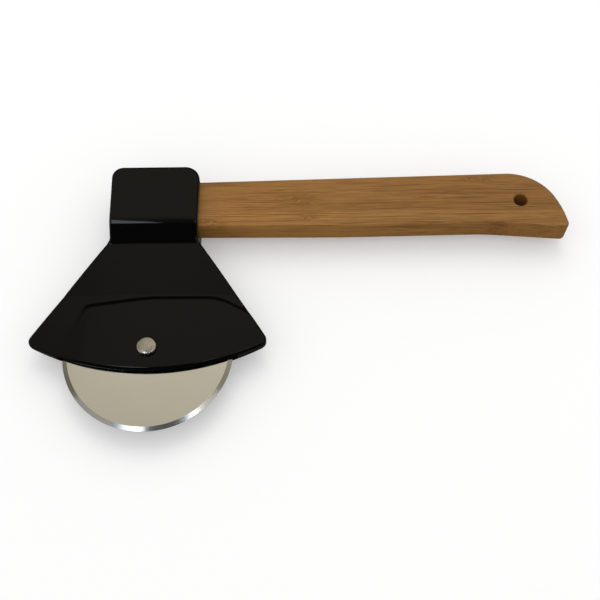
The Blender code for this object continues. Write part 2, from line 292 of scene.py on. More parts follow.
def mesh_object(name: str, vertices: Points, faces: Sequence) -> Piece:
    """Makes an object from vertices and faces."""
    mesh = bpy.data.meshes.new(name)
    mesh.from_pydata(vertices.tolist(), [], [tuple(int(i) for i in face) for face in faces])
    made = bpy.data.objects.new(name, mesh)
    bpy.context.scene.collection.objects.link(made)
    return made


def mesh_rows(items: Parts, name: str, width: int, kind: type) -> Points:
    """One property of all parts of a mesh, as rows of a width."""
    values = np.empty(len(items) * width, kind)
    items.foreach_get(name, values)
    return values.reshape(-1, width)


def settled(piece: Piece) -> Piece:
    """Turns a piece's live modifiers into its plain mesh."""
    bpy.context.view_layer.update()
    graph = bpy.context.evaluated_depsgraph_get()
    mesh = bpy.data.meshes.new_from_object(piece.evaluated_get(graph))
    piece.modifiers.clear()
    piece.data = mesh
    mesh.name = piece.name
    return piece


def bands(rings: Sequence[Sequence[int]]) -> list[tuple]:
    """Joins rings of vertices, each to the next one.

    Args:
        rings: the numbers of each ring's vertices.

    Returns:
        The four-sided faces.
    """
    faces = []
    for low, high in zip(rings, rings[1:]):
        for index in range(len(low)):
            ahead = (index + 1) % len(low)
            faces.append((low[index], low[ahead], high[ahead], high[index]))
    return faces


def stack(name: str, rings: Sequence[Sequence[tuple]]) -> Piece:
    """A closed solid through anticlockwise rings of equally many points, from low to high."""
    count = len(rings[0])
    rows = [spot for level in rings for spot in level]
    levels = [range(base, base + count) for base in range(0, len(rows), count)]
    faces = [tuple(reversed(levels[0])), tuple(levels[-1]), *bands(levels)]
    return mesh_object(name, np.array(rows), faces)


def prism(name: str, outline: Sequence[Vector], low: float, high: float) -> Piece:
    """A straight-sided solid over an anticlockwise outline."""
    return stack(name, [[(*point, level) for point in outline] for level in (low, high)])


def cut(piece: Piece, cutters: Sequence[Piece]) -> None:
    """Cuts solids out of a piece. The walls of the cuts get the piece's second material slot."""
    for cutter in cutters:
        for face in cutter.data.polygons:
            face.material_index = 1
        step = piece.modifiers.new(f"without {cutter.name}", "BOOLEAN")
        step.operation = "DIFFERENCE"
        step.object = cutter
        step.solver = "EXACT"
    settled(piece)
    for cutter in cutters:
        bpy.data.objects.remove(cutter)


@dataclass
class Slab:
    """A flat piece with rounded rims. Its thickness may change across its face.

    Args:
        edge: radius of its rims.
        half_thickness: gives the distance from the middle plane at spots x, y.
        marks: spots on its face where it needs vertices.
        margin: what these keep from the rim.
        weld: what they keep from each other.
        probe: step that slopes are measured over.
        pull: how far inside its face a corner's normal is looked up.
    """

    name: str
    border: Border
    edge: float
    half_thickness: Callable[[Points, Points], Points]
    marks: Points
    rim_steps: int = 6
    probe: float = 0.00003
    margin: float = 0.00018
    pull: float = 0.000045
    weld: float = 0.000003

    def build(self) -> Piece:
        """Makes the closed mesh, with the middle plane at its height."""
        rings = []
        for step in range(self.rim_steps + 1):
            lift = pi / 2 * step / self.rim_steps
            flat = self.border.inset(self.edge * (1 - cos(lift)))
            height = self.half_thickness(flat[:, 0], flat[:, 1]) - self.edge * (1 - sin(lift))
            rings.append(np.column_stack((flat, height)))
        inner = rings.pop()
        count = len(inner)
        depth = self.border.nearest(self.marks)[0]
        flat = np.vstack((inner[:, :2], self.marks[depth > self.edge + self.margin]))
        spots = [Vector(row) for row in flat]
        found = delaunay_2d_cdt(spots, [], [list(range(count))], 1, self.weld)
        cap = np.array([tuple(spot) for spot in found[0]])
        cap = np.column_stack((cap, self.half_thickness(cap[:, 0], cap[:, 1])))
        half = np.vstack((*rings, cap))
        base = count * len(rings)
        levels = [range(low, low + count) for low in range(0, base, count)]
        place = {origin: index for index, origins in enumerate(found[3]) for origin in origins}
        levels.append([base + place[index] for index in range(count)])
        front = bands(levels) + [tuple(base + index for index in face) for face in found[2]]
        size = len(half)
        rear = [tuple(size + index for index in reversed(face)) for face in front]
        wall = bands([range(size, size + count), levels[0]])
        vertices = np.vstack((half, half * (1, 1, -1))) + (0, 0, MIDDLE)
        return mesh_object(self.name, vertices, front + rear + wall)

    def finish(self, material: Material, cutters: Sequence[Piece]) -> Piece:
        """Builds and cuts the piece. Its skin gets true normals, and the cuts' walls stay flat.

        Args:
            material: the finish of the skin and of the walls.
            cutters: solids to be cut out.

        Returns:
            The piece.
        """
        piece = self.build()
        for _ in ("skin", "walls"):
            piece.data.materials.append(material)
        cut(piece, cutters)
        mesh = piece.data
        corners = mesh_rows(mesh.loops, "vertex_index", 1, np.int32)[:, 0]
        places = mesh_rows(mesh.vertices, "co", 3, float)[corners]
        sizes = mesh_rows(mesh.polygons, "loop_total", 1, np.int32)[:, 0]
        centres = mesh_rows(mesh.polygons, "center", 3, float)
        flats = mesh_rows(mesh.polygons, "normal", 3, float)
        slots = mesh_rows(mesh.polygons, "material_index", 1, np.int32)
        centres, flats, slots = (np.repeat(rows, sizes, axis=0) for rows in (centres, flats, slots))
        inward = centres - places
        reach = np.linalg.norm(inward, axis=1)[:, None]
        spots = places + inward / np.maximum(reach, 1e-9) * np.minimum(reach / 2, self.pull)
        normals = np.where(slots == 0, self.normals(spots), flats)
        for face in mesh.polygons:
            face.use_smooth = True
        mesh.normals_split_custom_set(normals.tolist())
        return piece

    def normals(self, spots: Points) -> Points:
        """The skin's outward direction at spots on it."""
        x, y = spots[:, 0], spots[:, 1]
        depth, sides = self.border.nearest(spots[:, :2])
        level = 1 - np.clip(depth / self.edge, 0, 1)
        rise = np.sqrt(1 - level**2)
        step = self.probe
        half = self.half_thickness
        slope_x = (half(x + step, y) - half(x - step, y)) / (2 * step)
        slope_y = (half(x, y + step) - half(x, y - step)) / (2 * step)
        front = np.where(spots[:, 2] >= MIDDLE, 1.0, -1.0)
        flat_x = sides[:, 0] * level - slope_x * rise
        flat_y = sides[:, 1] * level - slope_y * rise
        found = np.column_stack((flat_x, flat_y, front * rise))
        return found / np.linalg.norm(found, axis=1)[:, None]


# Node trees


class Wiring:
    """A node tree, while it is being wired."""

    def __init__(self, tree: bpy.types.NodeTree) -> None:
        """Takes the tree to be wired."""
        self.tree = tree

    def node(self, kind: str, feeds: dict | None = None, **settings: object) -> bpy.types.Node:
        """Adds a node.

        Args:
            kind: the node's type.
            feeds: values or sockets for its inputs, by name or number.
            settings: its own properties.

        Returns:
            The node.
        """
        made = self.tree.nodes.new(kind)
        for key, value in settings.items():
            setattr(made, key, value)
        for key, value in (feeds or {}).items():
            self.feed(made.inputs[key], value)
        return made

    def feed(self, socket: Socket, value: Value) -> None:
        """Links a socket or sets its value."""
        if isinstance(value, Socket):
            self.tree.links.new(value, socket)
        elif isinstance(value, tuple) and socket.type == "RGBA":
            socket.default_value = (*value, 1)
        else:
            socket.default_value = value

    def math(self, operation: str, first: Value, second: Value = 0.0) -> Socket:
        """One step of arithmetic."""
        return self.node("ShaderNodeMath", {0: first, 1: second}, operation=operation).outputs[0]

    def plus(self, first: Value, second: Value) -> Socket:
        """A sum."""
        return self.math("ADD", first, second)

    def minus(self, first: Value, second: Value) -> Socket:
        """A difference."""
        return self.math("SUBTRACT", first, second)

    def times(self, first: Value, second: Value) -> Socket:
        """A product."""
        return self.math("MULTIPLY", first, second)

    def most(self, *values: Value) -> Socket:
        """The greatest of some values."""
        found = values[0]
        for value in values[1:]:
            found = self.math("MAXIMUM", found, value)
        return found

    def parts(self, vector: Socket) -> Parts:
        """A vector's X, Y and Z."""
        return self.node("ShaderNodeSeparateXYZ", {0: vector}).outputs

    def vector(self, x: Value = 0.0, y: Value = 0.0, z: Value = 0.0) -> Socket:
        """A vector from its parts."""
        return self.node("ShaderNodeCombineXYZ", {0: x, 1: y, 2: z}).outputs[0]

    def vector_math(self, operation: str, first: Value, second: Value = (0.0, 0.0, 0.0)) -> Parts:
        """One step of arithmetic with vectors: its vector and its value."""
        return self.node("ShaderNodeVectorMath", {0: first, 1: second}, operation=operation).outputs

    def seen(self) -> Socket:
        """1 where it is seen straight, in gloss or through glass, and 0 where it only lights."""
        path = self.node("ShaderNodeLightPath").outputs
        kinds = ("Is Camera Ray", "Is Glossy Ray", "Is Transmission Ray")
        return self.most(*(path[kind] for kind in kinds))


class TurningTree(Wiring):
    """A geometry node tree that turns a profile round an axle.

    The profile is a mesh of vertices in order, with x as the radius and z as the height.
    """

    PROFILE = "Profile"
    SIDES = "Sides"
    ROWS = "Profile Points"
    WELD = "Weld Distance"
    MATERIAL = "Material"

    def __init__(self) -> None:
        """Makes the tree: a grid is wrapped round the axle, row by row of the profile."""
        super().__init__(bpy.data.node_groups.new("turned piece", "GeometryNodeTree"))
        self.sockets = {}
        kinds = {self.PROFILE: "Geometry", self.SIDES: "Int", self.ROWS: "Int"}
        kinds |= {self.WELD: "Float", self.MATERIAL: "Material"}
        face = self.tree.interface
        for name, kind in kinds.items():
            socket = face.new_socket(name, in_out="INPUT", socket_type=f"NodeSocket{kind}")
            self.sockets[name] = socket.identifier
        face.new_socket("Piece", in_out="OUTPUT", socket_type="NodeSocketGeometry")
        given = self.node("NodeGroupInput").outputs
        feeds = {"Size X": 1.0, "Size Y": 1.0, "Vertices X": self.plus(given[self.SIDES], 1.0)}
        feeds["Vertices Y"] = given[self.ROWS]
        grid = self.node("GeometryNodeMeshGrid", feeds).outputs["Mesh"]
        own = self.node("GeometryNodeInputPosition").outputs[0]
        parts = self.parts(own)
        angle = self.times(self.plus(parts["X"], 0.5), 2 * pi)
        last = self.minus(given[self.ROWS], 1.0)
        row = self.math("ROUND", self.times(self.plus(parts["Y"], 0.5), last))
        feeds = {"Geometry": given[self.PROFILE], "Index": row, "Value": own}
        kind = {"data_type": "FLOAT_VECTOR", "domain": "POINT"}
        profile = self.parts(self.node("GeometryNodeSampleIndex", feeds, **kind).outputs[0])
        across = self.times(self.math("COSINE", angle), profile["X"])
        along = self.times(self.math("SINE", angle), profile["X"])
        wrapped = self.vector(across, along, profile["Z"])
        piece = grid
        for step, extra in (
            ("GeometryNodeSetPosition", {"Position": wrapped}),
            ("GeometryNodeMergeByDistance", {"Distance": given[self.WELD]}),
            ("GeometryNodeRealizeInstances", {}),
            ("GeometryNodeSetMaterial", {"Material": given[self.MATERIAL]}),
        ):
            piece = self.node(step, {"Geometry": piece, **extra}).outputs[0]
        self.node("NodeGroupOutput", {0: piece})

    def turn(
        self, name: str, profile: Sequence[tuple], sides: int, crease: float, material: Material
    ) -> Piece:
        """Makes one turned piece on the axle.

        Args:
            name: the piece's name.
            profile: (radius, height over the middle plane) points, closed onto the first one.
            sides: facets round the piece.
            crease: angle from which an edge is sharp.
            material: its finish.

        Returns:
            The piece as a plain mesh in its place.
        """
        rows = np.array([(radius, 0, height) for radius, height in profile])
        piece = mesh_object(name, rows, [])
        step = piece.modifiers.new("turned", "NODES")
        step.node_group = self.tree
        given = {self.SIDES: sides, self.ROWS: len(profile)}
        given |= {self.WELD: MESH_WELD, self.MATERIAL: material}
        for key, value in given.items():
            step[self.sockets[key]] = value
        settled(piece)
        shape = bmesh.new()
        shape.from_mesh(piece.data)
        bmesh.ops.dissolve_degenerate(shape, edges=shape.edges, dist=MESH_WELD / 2)
        bmesh.ops.recalc_face_normals(shape, faces=shape.faces)
        bmesh.ops.translate(shape, verts=shape.verts, vec=(*AXLE, MIDDLE))
        shape.to_mesh(piece.data)
        shape.free()
        piece.data.shade_smooth()
        piece.data.set_sharp_from_angle(angle=crease)
        return piece


# Finishes


@dataclass(frozen=True)
class Noise:
    """Smooth noise with one scale or one along each of x, y and z, turned about z."""

    scale: Union[float, tuple]
    detail: float = 2.0
    roughness: float = 0.5
    distortion: float = 0.0
    turn: float = 0.0


@dataclass(frozen=True)
class Mark:
    """Marks of some weight that set in over a span of a noise's values."""

    noise: Noise
    span: Span
    weight: float = 1.0


class Surface(Wiring):
    """A material's node tree, while it is being wired."""

    def __init__(self, name: str) -> None:
        """Makes the material with its shader."""
        self.material = bpy.data.materials.new(name)
        self.material.use_nodes = True
        super().__init__(self.material.node_tree)
        self.shader = self.tree.nodes["Principled BSDF"]

    def set(self, **values: Value) -> None:
        """Sets the shader's inputs, named with underscores for spaces."""
        for name, value in values.items():
            self.feed(self.shader.inputs[name.replace("_", " ")], value)

    def finished(self, **values: Value) -> Material:
        """Sets the last inputs and hands the material over."""
        self.set(**values)
        return self.material

    def spots(self, centre: tuple = (0.0, 0.0, 0.0)) -> Socket:
        """The object's coordinates about a centre."""
        own = self.node("ShaderNodeTexCoord").outputs["Object"]
        return self.vector_math("SUBTRACT", own, centre)["Vector"]

    def round_axle(self) -> tuple[Socket, Socket, Parts]:
        """Coordinates about the axle: all three, the radius, and the parts of the way out."""
        spots = self.spots((*AXLE, MIDDLE))
        parts = self.parts(spots)
        flat = self.vector(parts["X"], parts["Y"])
        radius = self.vector_math("LENGTH", flat)["Value"]
        return spots, radius, self.parts(self.vector_math("NORMALIZE", flat)["Vector"])

    def noise(self, noise: Noise, place: Socket) -> Socket:
        """Smooth noise at a place."""
        scale = noise.scale
        if isinstance(scale, tuple):
            feeds = {"Vector": place, "Scale": scale, "Rotation": (0.0, 0.0, noise.turn)}
            place = self.node("ShaderNodeMapping", feeds).outputs[0]
            scale = 1.0
        feeds = {"Vector": place, "Scale": scale, "Detail": noise.detail}
        feeds |= {"Roughness": noise.roughness, "Distortion": noise.distortion}
        return self.node("ShaderNodeTexNoise", feeds).outputs[0]

    def span(
        self, value: Value, low: float, high: float, first: float = 0.0, last: float = 1.0
    ) -> Socket:
        """Maps a range of values to another, smoothly and without running past its ends."""
        feeds = {0: value, 1: low, 2: high, 3: first, 4: last}
        return self.node("ShaderNodeMapRange", feeds, interpolation_type="SMOOTHSTEP").outputs[0]

    def spread(self, noise: Socket, first: float = 0.0, last: float = 1.0) -> Socket:
        """Maps the usual range of a noise to another."""
        return self.span(noise, *NOISE_RANGE, first, last)

    def marks(self, mark: Mark, place: Socket) -> tuple[Socket, Socket]:
        """The noise of some marks at a place, and how strong the marks are there."""
        noise = self.noise(mark.noise, place)
        return noise, self.times(self.span(noise, *mark.span), mark.weight)

    def mix(self, share: Value, first: Value, second: Value, mode: str = "MIX") -> Socket:
        """Mixes two colours."""
        feeds = {0: share, 6: first, 7: second}
        return self.node("ShaderNodeMix", feeds, data_type="RGBA", blend_type=mode).outputs[2]

    def toned(self, colour: Value, tone: Socket) -> Socket:
        """A colour made paler or darker."""
        return self.mix(1.0, colour, self.vector(tone, tone, tone), "MULTIPLY")

    def bump(self, height: Value, distance: float, under: Socket | None = None) -> Socket:
        """Raises the surface by a height times a distance."""
        feeds = {"Height": height, "Distance": distance, "Strength": 1.0}
        if under is not None:
            feeds["Normal"] = under
        return self.node("ShaderNodeBump", feeds).outputs[0]


@dataclass(frozen=True)
class MouldedPlastic:
    """Gloss black plastic as it leaves the mould, with faint ripples, dust and fine scratches."""

    colour: Colour = (0.0014, 0.0014, 0.0013)
    dust: Colour = (0.014, 0.0135, 0.013)
    gloss: Span = (0.048, 0.081)
    ior: float = 1.27
    clouds: Noise = Noise(90, 3)
    specks: Mark = Mark(Noise(2600), (0.69, 0.76), 0.35)
    hairs: Mark = Mark(Noise((22, 2400, 300), 2, 0.5, 0.3, 0.9), (0.68, 0.8), 0.4)
    mark_tone: float = 0.5
    mark_roughness: float = 0.12
    ripples: Noise = Noise(45, 1)
    ripple_height: float = 0.00012
    peel: Noise = Noise(700)
    peel_height: float = 0.0000012

    def make(self) -> Material:
        """Makes the material."""
        skin = Surface("gloss black plastic")
        spots = skin.spots()
        marks = skin.most(*(skin.marks(mark, spots)[1] for mark in (self.specks, self.hairs)))
        colour = skin.mix(skin.times(marks, self.mark_tone), self.colour, self.dust)
        clouds = skin.noise(self.clouds, spots)
        rough = skin.plus(skin.spread(clouds, *self.gloss), skin.times(marks, self.mark_roughness))
        normal = skin.bump(skin.noise(self.ripples, spots), self.ripple_height)
        normal = skin.bump(skin.noise(self.peel, spots), self.peel_height, normal)
        return skin.finished(Base_Color=colour, Roughness=rough, Normal=normal, IOR=self.ior)


@dataclass(frozen=True)
class Knuckle:
    """A joint of the bamboo's cane in one strip, where the fibres wander."""

    x: float
    y: float
    length: float
    width: float


@dataclass(frozen=True)
class LaminatedBamboo:
    """Oiled bamboo glued up from strips, with fibres along the handle and knuckles in the strips."""

    pale: Colour = (0.385, 0.184, 0.043)
    tan: Colour = (0.285, 0.125, 0.023)
    fibre: Colour = (0.155, 0.055, 0.006)
    ior: float = 1.32
    strip: float = 0.0066
    first_glue: float = -0.0088
    glue: Ramp = (0.0, 0.035, 1.0, 0.0)
    glue_patches: Ramp = (0.3, 0.6, 0.1, 0.6)
    strip_shift: float = 0.37
    tone_step: float = 0.2
    tone_start: float = 0.15
    knuckles: tuple = (
        Knuckle(0.072, -0.0019, 0.018, 0.0065),
        Knuckle(0.0283, -0.0144, 0.013, 0.0035),
        Knuckle(0.0758, -0.0126, 0.009, 0.003),
        Knuckle(0.163, 0.0098, 0.014, 0.0035),
        Knuckle(0.17, -0.0172, 0.009, 0.003),
    )
    knuckle_fade: Ramp = (0.2, 1.0, 1.0, 0.0)
    knuckle_tone: float = 0.2
    drift: Noise = Noise((9, 60, 60))
    drift_reach: float = 0.0016
    swirl: Noise = Noise((150, 260, 260))
    swirl_reach: float = 0.006
    broad: Noise = Noise((10, 420, 420), 3, 0.6)
    patches: Noise = Noise((14, 130, 130))
    streaks: Mark = Mark(Noise((50, 2100, 2100), 3, 0.6), (0.5, 0.7), 0.95)
    threads: Mark = Mark(Noise((90, 3900, 3900), 2, 0.6), (0.5, 0.68), 0.6)
    lines: Mark = Mark(Noise((22, 1700, 1700), 1), (0.58, 0.69), 0.8)
    mottle: Mark = Mark(Noise((260, 1100, 1100), 3, 0.7), (0.42, 0.62), 0.7)
    dense: Ramp = (0.34, 0.62, 0.35, 1.0)
    # the colour grows darker along the handle, from the eye towards the butt
    darker_towards_butt: Ramp = (0.02, 0.19, 1.06, 0.85)
    wear: Ramp = (0.35, 0.7, 0.42, 0.6)
    thread_lift: float = 0.5
    dark_drop: float = 0.6
    relief: float = 0.00006

    def make(self) -> Material:
        """Makes the material."""
        skin = Surface("laminated bamboo")
        spots = skin.spots()
        own = skin.parts(spots)
        near = self.nearness(skin, own)
        drift = skin.minus(skin.noise(self.drift, spots), 0.5)
        swirl = skin.minus(skin.noise(self.swirl, spots), 0.5)
        swirl = skin.times(swirl, skin.times(near, self.swirl_reach))
        across = skin.plus(skin.times(drift, self.drift_reach), swirl)
        across = skin.plus(own["Y"], across)
        strips = skin.math("DIVIDE", skin.minus(across, self.first_glue), self.strip)
        index = skin.math("FLOOR", strips)
        tone = skin.plus(skin.times(index, self.tone_step), self.tone_start)
        tone = skin.math("FRACT", tone)
        from_middle = skin.math("ABSOLUTE", skin.minus(skin.math("FRACT", strips), 0.5))
        from_glue = skin.minus(0.5, from_middle)
        along = skin.plus(own["X"], skin.times(index, self.strip_shift))
        grain = skin.vector(along, across, own["Z"])
        broad = skin.spread(skin.noise(self.broad, grain))
        tone = skin.times(skin.plus(broad, tone), 0.5)
        tone = skin.minus(tone, skin.times(near, self.knuckle_tone))
        colour = skin.mix(tone, self.tan, self.pale)
        patches = skin.noise(self.patches, grain)
        streaks, streaked = skin.marks(self.streaks, grain)
        threads, threaded = skin.marks(self.threads, grain)
        dark = skin.most(
            skin.times(streaked, skin.span(patches, *self.dense)),
            threaded,
            skin.marks(self.lines, grain)[1],
            skin.times(near, skin.marks(self.mottle, grain)[1]),
            skin.times(skin.span(from_glue, *self.glue), skin.span(patches, *self.glue_patches)),
        )
        colour = skin.mix(dark, colour, self.fibre)
        # the colour grows darker along the handle towards the butt
        colour = skin.toned(colour, skin.span(own["X"], *self.darker_towards_butt))
        rough = skin.span(streaks, *self.wear)
        lift = skin.minus(skin.times(threads, self.thread_lift), skin.times(dark, self.dark_drop))
        normal = skin.bump(lift, self.relief)
        return skin.finished(Base_Color=colour, Roughness=rough, Normal=normal, IOR=self.ior)

    def nearness(self, skin: Surface, own: Parts) -> Socket:
        """How near each spot is to a knuckle, up to 1."""
        found = 0.0
        for knuckle in self.knuckles:
            x = skin.math("DIVIDE", skin.minus(own["X"], knuckle.x), knuckle.length)
            y = skin.math("DIVIDE", skin.minus(own["Y"], knuckle.y), knuckle.width)
            gap = skin.vector_math("LENGTH", skin.vector(x, y))["Value"]
            found = skin.most(skin.span(gap, *self.knuckle_fade), found)
        return found


@dataclass(frozen=True)
class GroundSteel:
    """Polished steel with rings from its polishing, and coarser marks on its ground bevel, whose
    darker tone is partly its duller finish and partly painted shade.
    """

    colour: Colour = (0.717, 0.698, 0.642)
    polish: Span = (0.085, 0.12)
    cloud_tones: Span = (0.985, 1.01)
    # the ground bevel is darker: partly its duller finish, partly painted shade standing in for its
    # darker reflections
    bevel_dull_and_shade: float = 0.58
    bevel_roughness: float = 0.02
    bevel_blend: float = 0.00005
    rings: Noise = Noise((5200, 2.5, 2.5), 2, 0.6)
    clouds: Noise = Noise((70, 1.5, 1.5), 3)
    grinding: Noise = Noise((260, 260, 400), 2, 0.6)
    scratches: Mark = Mark(Noise((90, 4200, 50), 1, turn=0.9), (0.7, 0.78), 0.08)
    relief: float = 0.0000022

    def make(self) -> Material:
        """Makes the material."""
        skin = Surface("ground steel")
        _, radius, way = skin.round_axle()
        rings_place = skin.vector(radius, way["X"], way["Y"])
        rings = skin.noise(self.rings, rings_place)
        clouds = skin.noise(self.clouds, rings_place)
        grinding = skin.noise(self.grinding, skin.vector(way["X"], way["Y"], radius))
        land = WHEEL_RADIUS - WHEEL_BEVEL
        bevel = skin.span(radius, land - self.bevel_blend, land + self.bevel_blend)
        feeds = {0: bevel, 2: rings, 3: grinding}
        marks = skin.node("ShaderNodeMix", feeds, data_type="FLOAT").outputs[0]
        # darker on the bevel: partly the ground finish, partly painted shade
        tone = skin.span(bevel, 0.0, 1.0, 1.0, self.bevel_dull_and_shade)
        tone = skin.times(skin.spread(clouds, *self.cloud_tones), tone)
        rough = skin.spread(marks, *self.polish)
        rough = skin.plus(rough, skin.times(bevel, self.bevel_roughness))
        rough = skin.plus(rough, skin.marks(self.scratches, skin.spots())[1])
        normal = skin.bump(marks, self.relief)
        colour = skin.toned(self.colour, tone)
        return skin.finished(Base_Color=colour, Metallic=1.0, Roughness=rough, Normal=normal)


@dataclass(frozen=True)
class RivetSteel:
    """Bright steel of a riveted axle, pressed and lightly marked."""

    colour: Colour = (0.48, 0.45, 0.39)
    pit_colour: Colour = (0.16, 0.14, 0.12)
    polish: Span = (0.14, 0.252)
    clouds: Noise = Noise(900, 3)
    cloud_tones: Span = (0.84, 1.1)
    pits: Mark = Mark(Noise(2400), (0.66, 0.74))
    pit_share: float = 0.5
    relief: float = 0.000008

    def make(self) -> Material:
        """Makes the material."""
        skin = Surface("rivet steel")
        spots = skin.round_axle()[0]
        pits = skin.marks(self.pits, spots)[1]
        clouds = skin.noise(self.clouds, spots)
        colour = skin.toned(self.colour, skin.spread(clouds, *self.cloud_tones))
        colour = skin.mix(skin.times(pits, self.pit_share), colour, self.pit_colour)
        rough = skin.spread(clouds, *self.polish)
        normal = skin.bump(skin.minus(clouds, pits), self.relief)
        return skin.finished(Base_Color=colour, Metallic=1.0, Roughness=rough, Normal=normal)


@dataclass(frozen=True)
class TurnedNylon:
    """Off-white nylon with faint rings from the lathe."""

    colour: Colour = (0.72, 0.71, 0.66)
    rings: Noise = Noise((6000, 1, 1), 1)
    sheen: Span = (0.35, 0.5)
    clouds: Noise = Noise(300)
    cloud_tones: Span = (0.9, 1.0)
    relief: float = 0.000006
    glow_through: float = 0.1

    def make(self) -> Material:
        """Makes the material."""
        skin = Surface("white nylon")
        spots, radius, _ = skin.round_axle()
        rings = skin.noise(self.rings, skin.vector(radius))
        tone = skin.spread(skin.noise(self.clouds, spots), *self.cloud_tones)
        colour = skin.toned(self.colour, tone)
        skin.set(Base_Color=colour, Roughness=skin.spread(rings, *self.sheen))
        normal = skin.bump(rings, self.relief)
        return skin.finished(Normal=normal, Subsurface_Weight=self.glow_through)


# Sub-assemblies


def ready(piece: Piece, body: Body, node: Node) -> Piece:
    """Lets a piece ride on its body and stand for its node."""
    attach(piece, body.value)
    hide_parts(node.value)
    return piece


@dataclass
class AxeHead:
    """The moulded head: eye, shoulder, two cheeks with their panels, slot, socket and axle bore."""

    finish: MouldedPlastic
    eye_width: float = 0.0442
    neck_width: float = 0.043
    eye_half: float = 0.0118
    eye_rise: float = 0.0156
    poll_shift: float = 0.0004
    left_corner: float = 0.0057
    right_corner: float = 0.0075
    shoulder_top: float = 0.0160
    neck_drop: float = 0.0263
    shoulder_roll: float = 0.008
    neck_radius: float = 0.003
    flank_top: float = 0.0239
    flank_lean: float = radians(33.2)
    left_lean: float = radians(34.3)
    flank_bow: float = 0.0005
    flank_steps: int = 12
    lip_drop: float = 0.0113
    lip_radius: float = 0.120
    tip_radius: float = 0.0036
    tip_room: float = 1.5  # radii left free for the tip on the lip
    cheek_half: float = 0.0034
    neck_swell: float = 0.0026
    tip_sag: float = 0.0013
    tip_place: float = 0.052
    edge: float = 0.0013
    panel_height: float = 0.0007
    panel_rise: float = 0.0276
    panel_left: float = 0.0316
    panel_left_drop: float = 0.004
    panel_left_lean: float = radians(25)
    panel_left_radius: float = 0.005
    panel_crest: float = 0.001
    panel_crest_radius: float = 0.1
    panel_right: float = 0.0329
    panel_right_fall: float = radians(28)
    panel_right_radius: float = 0.026
    panel_step: float = 0.0035
    panel_fade_start: float = 0.028
    panel_fade_end: float = 0.043
    slot_half: float = 0.0018
    slot_radius: float = 0.042
    slot_steps: int = 160
    bore_sides: int = 48
    pitch: float = 0.0006
    roll_pitch: float = 0.0001
    face_pitch: float = 0.0012
    fine_pitch: float = 0.0004

    def __post_init__(self) -> None:
        """Works out the places that the sizes give."""
        self.lip_centre = AXLE + Vector((0, self.lip_radius - self.lip_drop))
        self.panel_top = AXLE.y + self.panel_rise
        self.foot = self.lip_centre.y - self.lip_radius - self.eye_half
        eye_end = self.eye_rise + self.eye_half
        corners = [
            (self.foot, 0, 0),
            (self.foot, self.cheek_half, 0),
            (self.panel_top, self.cheek_half, 0),
            (-self.neck_drop, self.cheek_half + self.neck_swell, 0),
            (-self.shoulder_top, self.eye_half, self.shoulder_roll),
            (eye_end, self.eye_half, 0),
            (eye_end, 0, 0),
        ]
        self.profile = np.array(rounded(corners, self.roll_pitch)[1:-1])
        far = self.lip_radius
        left_top = self.panel_top - self.panel_left_drop
        left_foot = -self.panel_left - (left_top - self.foot) * tan(self.panel_left_lean)
        right_foot = self.panel_top - (far - self.panel_right) * tan(self.panel_right_fall)
        self.panel = Verge([
            (far, right_foot, 0),
            (self.panel_right, self.panel_top, self.panel_right_radius),
            (-self.panel_crest, self.panel_top, self.panel_crest_radius),
            (-self.panel_left, left_top, self.panel_left_radius),
            (left_foot, self.foot, 0),
        ])

    def lip_end(self, lean: float) -> Vector:
        """The right end of the lip, under a flank that leans out by an angle."""
        start = Vector((self.neck_width / 2, -self.flank_top)) - self.lip_centre
        way = Vector((sin(lean), -cos(lean)))
        along = start.dot(way)
        reach = sqrt(along**2 - start.length_squared + self.lip_radius**2) - along
        return self.lip_centre + start + way * reach

    def outline(self) -> list[Vector]:
        """The head seen from the front, anticlockwise."""
        half, neck = self.eye_width / 2, self.neck_width / 2
        corner = self.lip_end(self.flank_lean)
        tip = self.lip_end(self.left_lean) * Vector((-1, 1))
        room = self.tip_room * self.tip_radius / self.lip_radius
        first, last = (atan2(end.x, self.lip_centre.y - end.y) for end in (tip, corner))
        steps = round((last - first) * self.lip_radius / self.pitch)
        ends = (first + room - pi / 2, last - room - pi / 2)
        bow = (self.flank_bow, self.flank_steps)
        corners = [
            (*tip, self.tip_radius),
            *((*point, 0) for point in arc(self.lip_centre, self.lip_radius, *ends, steps)),
            (*corner, self.tip_radius),
            *bowed(corner, Vector((neck, -self.flank_top)), *bow),
            (neck, -self.flank_top, self.neck_radius),
            (half - self.poll_shift, self.eye_rise, self.right_corner),
            (-half - self.poll_shift, self.eye_rise, self.left_corner),
            (-neck, -self.flank_top, self.neck_radius),
            *bowed(Vector((-neck, -self.flank_top)), tip, *bow),
        ]
        return rounded(corners, self.pitch)

    def half_thickness(self, x: Points, y: Points) -> Points:
        """The distance from the middle plane to the skin."""
        base = np.interp(y, self.profile[:, 0], self.profile[:, 1])
        below = np.clip((-self.neck_drop - y) / (-self.neck_drop - self.panel_top), 0, 1)
        sag = self.tip_sag * (x / self.tip_place) ** 2 * below
        fade = eased((x + self.panel_fade_end) / (self.panel_fade_end - self.panel_fade_start))
        step = eased(self.panel.depth(x, y) / self.panel_step)
        return base - sag + self.panel_height * fade * step

    def marks(self) -> Points:
        """The spots on the face that need vertices."""
        half = self.lip_radius / 2
        low = AXLE.y - self.lip_drop
        rows = list(np.arange(low, self.eye_rise, self.face_pitch))
        roll = self.profile[:, 0]
        rolled = roll[(roll > -self.neck_drop - self.edge) & (roll < 0)]
        rows += [row for row in rolled[::2] if row > -self.neck_drop - MESH_WELD]
        rows += [-self.neck_drop, self.panel_top]
        grid = np.array([(x, y) for y in rows for x in np.arange(-half, half, self.face_pitch)])
        fine_rows = np.arange(low, self.panel_top, self.fine_pitch)
        fine = np.arange(-half, half, self.fine_pitch)
        close = np.array([(x, y) for y in fine_rows for x in fine])
        depth = self.panel.depth(close[:, 0], close[:, 1])
        room = self.face_pitch / 2
        step = close[(depth > -room) & (depth < self.panel_step + room)]
        return np.vstack((grid, step))

